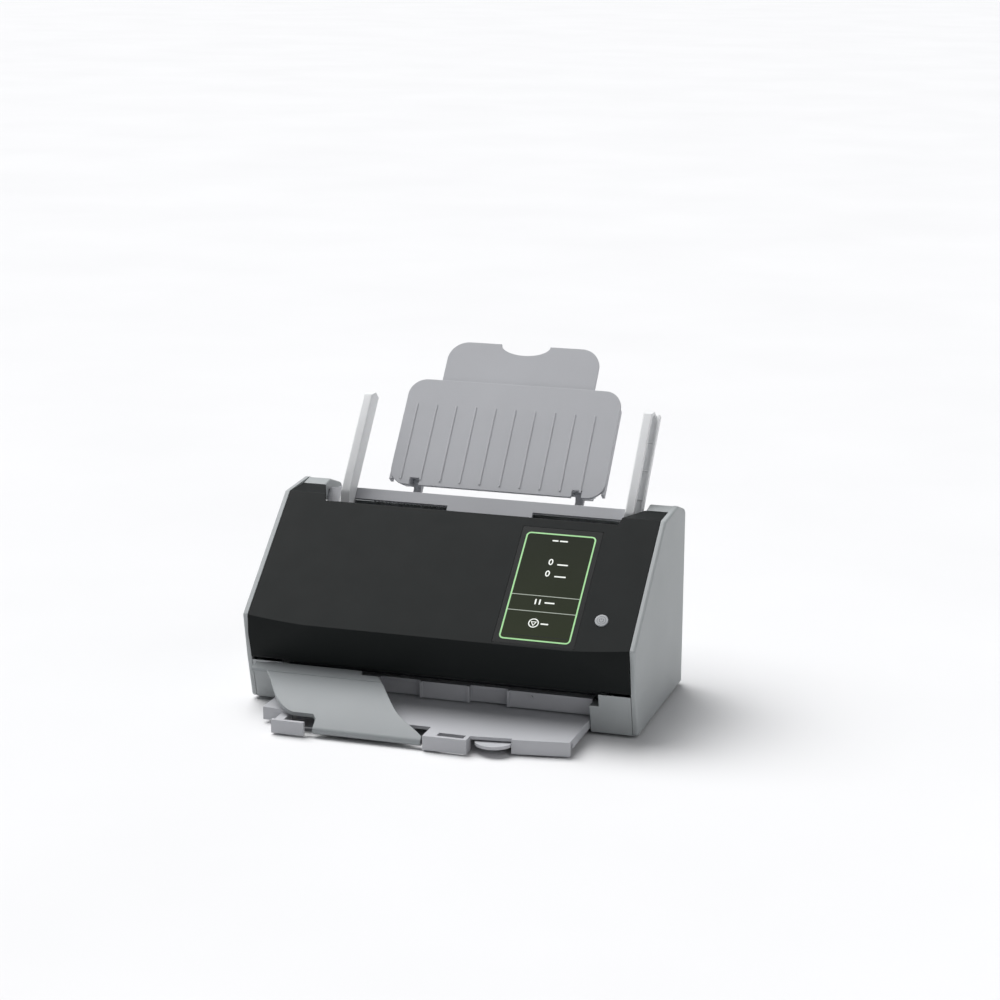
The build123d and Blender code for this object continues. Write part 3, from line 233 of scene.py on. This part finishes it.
def lit_mark(name, tone, glow):
    """Glowing line or figure on the display."""
    s = Surface(name, Emission_Strength=glow)
    uneven = s.remap(s.noise(300, 2), 0.0, 1.0)
    light = s.blend(uneven, colour(tone, 0.93), colour(tone))
    return s.finish(Base_Color=s.blend(uneven, colour(tone, 0.2), colour(tone, 0.25)),
                    Emission_Color=light, Roughness=s.remap(s.noise(80), 0.35, 0.5))


BODY_GREY, PALE_GREY, BLACK = "#a8acad", "#b9babe", "#191c1c"
finishes = {
    "grey_plastic": moulded_plastic("grey_plastic", BODY_GREY, 0.52),
    "pale_grey_plastic": moulded_plastic("pale_grey_plastic", PALE_GREY, 0.5),
    "black_plastic": moulded_plastic("black_plastic", BLACK, 0.5, edge_highlight_weight=0.4, gloss=0.1),
    "dark_plastic": moulded_plastic("dark_plastic", "#46484b", 0.56),
    "white_plastic": moulded_plastic("white_plastic", "#e6e4dc", 0.38, grain=0.01 * MM),
    "rubber": rubber("rubber", "#3a3b3d"),
    "steel": ground_steel("steel", "#c9cbcd", 0.26, along="x"),
    "zinc_steel": zinc_sheet("zinc_steel", "#b4b8bb"),
    "glass": clear_glass("glass", "#dfe8e6"),
    "display_glass": touch_glass("display_glass", "#141616"),
    "button_grey": moulded_plastic("button_grey", "#9b9ea1", 0.34, grain=0.01 * MM, coat=0.2),
    "board_green": circuit_board("board_green", "#12502c"),
    "chip_black": moulded_plastic("chip_black", "#2b2b2d", 0.6, grain=0.02 * MM),
    "socket_metal": ground_steel("socket_metal", "#bfc2c4", 0.32, along="y"),
}
guide_finish = moulded_plastic("guide_plastic", "#ecedee", 0.5)
node_finishes = {
    "left_side_guide": guide_finish,
    "right_side_guide": guide_finish,
    # painted shade: the flap is the body's grey plastic, given a darker tone than BODY_GREY
    "stacker_flap": moulded_plastic("flap_plastic_painted_shade", "#969a9c", 0.5),
}
screen_finish = lit_screen("screen_picture", "#222718", "#181c12", 0.55)
border_finish = lit_mark("screen_border_light", "#9fdc94", 0.75)
figure_finish = lit_mark("screen_figure_light", "#eef2ec", 0.85)
divider_finish = lit_mark("screen_divider_light", "#b9c2b4", 0.6)
print_finish = moulded_plastic("button_print", "#55585c", 0.4, grain=0.004 * MM)


def smooth_curves(part):
    """Shades a CAD part smoothly across its facets and sharply at its real edges."""
    weld = part.modifiers.new("weld", "WELD")
    weld.merge_threshold = WELD_DISTANCE
    for facet in part.data.polygons:
        facet.use_smooth = True
    split = part.modifiers.new("split", "EDGE_SPLIT")
    split.split_angle = radians(SHARP_ANGLE)


for row in frame["record"]["subparts"]:
    part = nodes[row["node"]]
    part.data.materials.clear()
    part.data.materials.append(node_finishes.get(row["node"], finishes[row["material_slot"]]))
    smooth_curves(part)


# ---------------------------------------------------------------- flat pieces on a face
def rounded_rectangle(x, y, width, height, radius, steps=8):
    """Closed loop of points, anticlockwise, in millimetres."""
    loop = []
    for turn, (sx, sy) in enumerate(((1, -1), (1, 1), (-1, 1), (-1, -1))):
        cx, cy = x + sx * (width / 2 - radius), y + sy * (height / 2 - radius)
        for k in range(steps + 1):
            a = (turn - 1 + k / steps) * pi / 2
            loop.append((cx + radius * cos(a), cy + radius * sin(a)))
    return loop


def ellipse(x, y, rx, ry, steps=64, start=0.0):
    """Closed loop round an ellipse; few steps give a regular polygon."""
    angles = [start + tau * k / steps for k in range(steps)]
    return [(x + rx * cos(a), y + ry * sin(a)) for a in angles]


def arc_band(x, y, inner, outer, start, end, steps=40):
    """Closed loop round a part of a ring."""
    angles = [start + (end - start) * k / steps for k in range(steps + 1)]
    return ([(x + outer * cos(a), y + outer * sin(a)) for a in angles]
            + [(x + inner * cos(a), y + inner * sin(a)) for a in reversed(angles)])


def face_plane(node, normal):
    """Matrix whose XY plane is the outermost face of a CAD node towards normal, at its middle."""
    across = Vector((1, 0, 0))
    up = normal.cross(across)
    spans = []
    for axis in (across, up, normal):
        reach = [vertex.co.dot(axis) for vertex in nodes[node].data.vertices]
        spans.append((min(reach), max(reach)))
    centre = (across * sum(spans[0]) / 2 + up * sum(spans[1]) / 2 + normal * spans[2][1])
    columns = Matrix((across, up, normal)).transposed().to_4x4()
    return Matrix.Translation(centre) @ columns


def flat_piece(name, shapes, plane, lift, thickness, finish, body):
    """Thin closed plates on a plane; each shape is an outer loop and an inner loop or None."""
    mesh = bmesh.new()
    for outer, inner in shapes:
        levels = []
        for z in (lift, lift + thickness):
            levels.append([[mesh.verts.new((px * MM, py * MM, z * MM)) for px, py in loop]
                           for loop in (outer, inner) if loop])
        for low, high in zip(*levels):
            for k in range(len(low)):
                mesh.faces.new((low[k - 1], low[k], high[k], high[k - 1]))
        for level in levels:
            if inner:
                out, hole = level
                for k in range(len(out)):
                    mesh.faces.new((out[k - 1], out[k], hole[k], hole[k - 1]))
            else:
                mesh.faces.new(level[0])
    bmesh.ops.recalc_face_normals(mesh, faces=mesh.faces)
    data = bpy.data.meshes.new(name)
    mesh.to_mesh(data)
    mesh.free()
    data.transform(plane)
    data.materials.append(finish)
    piece = bpy.data.objects.new(name, data)
    bpy.context.scene.collection.objects.link(piece)
    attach(piece, body)
    return piece


# ---------------------------------------------------------------- display picture
slope_normal = -Vector(joints["power_button_press"]["axis"]).normalized()
screen_plane = face_plane("touch_panel_glass", slope_normal)
SCREEN_W, SCREEN_H, SCREEN_R, BORDER = 53.4, 94.6, 3.6, 1.15
SCREEN_Y = -0.5          # the picture sits a little below the middle of the glass
SCREEN_LIFT, LAYER, INK = 0.02, 0.02, 0.03
DIVIDERS_Y = (-8.7, -22.4)
ZEROS = ((-2.8, 21.5), (-3.1, 11.2))
WORDS = ((-3.6, 40.5, 4.6), (2.8, 40.5, 6.2), (6.4, 19.6, 8.2), (6.8, 9.1, 8.8),
         (4.2, -14.3, 7.6), (4.5, -32.6, 5.8))
PAUSE_X, PAUSE_Y = (-6.4, -3.2), -14.0
STOP = (-3.7, -32.4)


def on_screen(name, shapes, finish, layer):
    """Thin plate on the display; a higher layer lies over a lower one."""
    return flat_piece(name, shapes, screen_plane, SCREEN_LIFT + layer * LAYER, INK, finish,
                      "cover")


def bar(x, y, width, height=1.15):
    """Plain rounded bar, used for lines and in place of words."""
    return rounded_rectangle(x, y, width, height, height * 0.45), None


def framed(inset):
    """Rounded outline of the display, moved inwards by inset."""
    return rounded_rectangle(0, SCREEN_Y, SCREEN_W - 2 * inset, SCREEN_H - 2 * inset,
                             SCREEN_R - inset)


on_screen("screen_picture_area", [(framed(0.4), None)], screen_finish, 0)
on_screen("screen_border", [(framed(0), framed(BORDER))], border_finish, 1)
on_screen("screen_dividers", [bar(0, y, SCREEN_W - 2 * BORDER, 0.55) for y in DIVIDERS_Y],
          divider_finish, 1)
on_screen("screen_foot_line", [bar(0, -43.6, SCREEN_W - 5.0, 0.5)],
          finishes["display_glass"], 1)
on_screen("screen_zeros", [(ellipse(x, y, 1.75, 2.7), ellipse(x, y, 0.85, 1.75))
                           for x, y in ZEROS], figure_finish, 1)
on_screen("screen_word_bars", [bar(*word) for word in WORDS], figure_finish, 1)
pause_bars = [(rounded_rectangle(x, PAUSE_Y, 1.1, 4.6, 0.2), None) for x in PAUSE_X]
stop_ring = (ellipse(*STOP, 3.9, 3.9), ellipse(*STOP, 3.1, 3.1))
stop_triangle = tuple(ellipse(*STOP, r, r, steps=3, start=-pi / 2) for r in (2.7, 1.5))
on_screen("screen_pause_and_stop", [*pause_bars, stop_ring, stop_triangle], figure_finish, 1)


# ---------------------------------------------------------------- print on the power button
button_plane = face_plane("power_button", slope_normal)
flat_piece("power_symbol",
           [(arc_band(0, 0, 1.35, 1.8, radians(125), radians(415)), None),
            (rounded_rectangle(0, 1.3, 0.45, 1.9, 0.1), None),
            (ellipse(0, 0, 3.35, 3.35), ellipse(0, 0, 3.0, 3.0))],
           button_plane, -0.01, 0.03, print_finish, "button")


# ---------------------------------------------------------------- floor, lights and camera
def floor():
    """Pale studio floor, wide enough to fill the picture."""
    s = Surface("studio_floor", Specular_IOR_Level=0.1)
    body = s.blend(s.remap(s.noise(3, 3), 0.0, 1.0), colour("#e6e6e7"), colour("#e9e9ea"))
    finish = s.finish(Base_Color=body, Roughness=s.remap(s.noise(20, 3), 0.8, 0.9))
    bpy.ops.mesh.primitive_circle_add(vertices=96, radius=60.0, fill_type="NGON")
    ground = bpy.context.object
    ground.name = "studio_floor"
    ground.data.materials.append(finish)


def soft_sun(name, towards, spread, strength):
    """Even light from a wide patch of sky in the direction towards."""
    data = bpy.data.lights.new(name, "SUN")
    data.angle = radians(spread)
    data.energy = strength
    lamp = bpy.data.objects.new(name, data)
    lamp.rotation_euler = (-Vector(towards)).to_track_quat("-Z", "Y").to_euler()
    bpy.context.scene.collection.objects.link(lamp)


def camera(place, azimuth, elevation, roll, lens):
    """Camera that looks back along azimuth and elevation; a positive roll turns it anticlockwise."""
    data = bpy.data.cameras.new("camera")
    data.lens = lens
    data.sensor_width = 36.0
    data.clip_end = 50.0
    a, e = radians(azimuth), radians(elevation)
    back = Vector((sin(a) * cos(e), -cos(a) * cos(e), sin(e)))
    shot = bpy.data.objects.new("camera", data)
    turn = (-back).to_track_quat("-Z", "Y").to_matrix().to_4x4()
    shot.matrix_world = Matrix.Translation(place) @ turn @ Matrix.Rotation(radians(roll), 4, "Z")
    bpy.context.scene.collection.objects.link(shot)
    bpy.context.scene.camera = shot


def studio_sky(tint, strength):
    """Even weak light from all round."""
    world = bpy.data.worlds.new("studio")
    world.use_nodes = True
    background = world.node_tree.nodes["Background"]
    background.inputs["Color"].default_value = (*tint, 1.0)
    background.inputs["Strength"].default_value = strength
    bpy.context.scene.world = world


floor()
soft_sun("key_overhead", (-0.6, 0.32, 1.15), 50, 3.5)
soft_sun("fill_right", (1.0, -0.4, 0.6), 60, 0.48)
studio_sky((0.95, 0.97, 1.0), 0.2)
bpy.context.scene.view_settings.view_transform = "Standard"
camera(place=Vector((0.55449, -1.72647, 0.59932)), azimuth=17.047, elevation=13.878, roll=0.450,
       lens=90.157)
